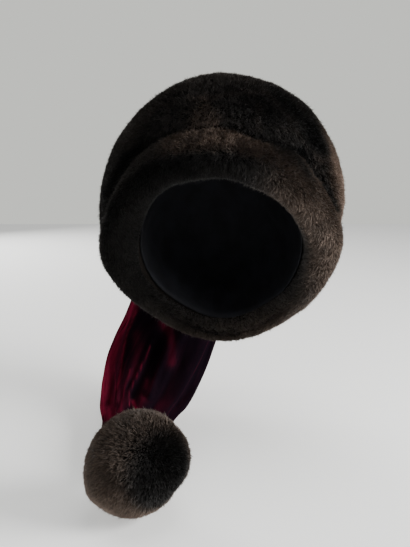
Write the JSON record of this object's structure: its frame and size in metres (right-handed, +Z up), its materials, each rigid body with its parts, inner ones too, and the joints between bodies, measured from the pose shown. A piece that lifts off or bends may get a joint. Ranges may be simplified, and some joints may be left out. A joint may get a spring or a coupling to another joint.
{
  "type": "pixie hat",
  "caption": "Tilted-back hat with a deep dark fur band, black lining and a long wine-red velvet tail that ends in a fur pompom.",
  "frame": {"origin": "where the crown of the wearer's head meets the inside of the lining", "axes": "+Z up with the head upright, +Y behind the wearer, +X to the wearer's left; the tail comes forward on -X"},
  "size_m": [0.25, 0.3894, 0.3565],
  "materials": {
    "fur": "soft sheared faux fur, dark brown with lighter tips",
    "lining": "smooth near-black lining cloth",
    "velvet": "crushed velvet, wine red, bright along its folds"
  },
  "bodies": {
    "root": {"fur_band": "fur", "lining": "lining", "velvet_bag": "velvet", "pompom": "fur"}
  },
  "joints": []
}
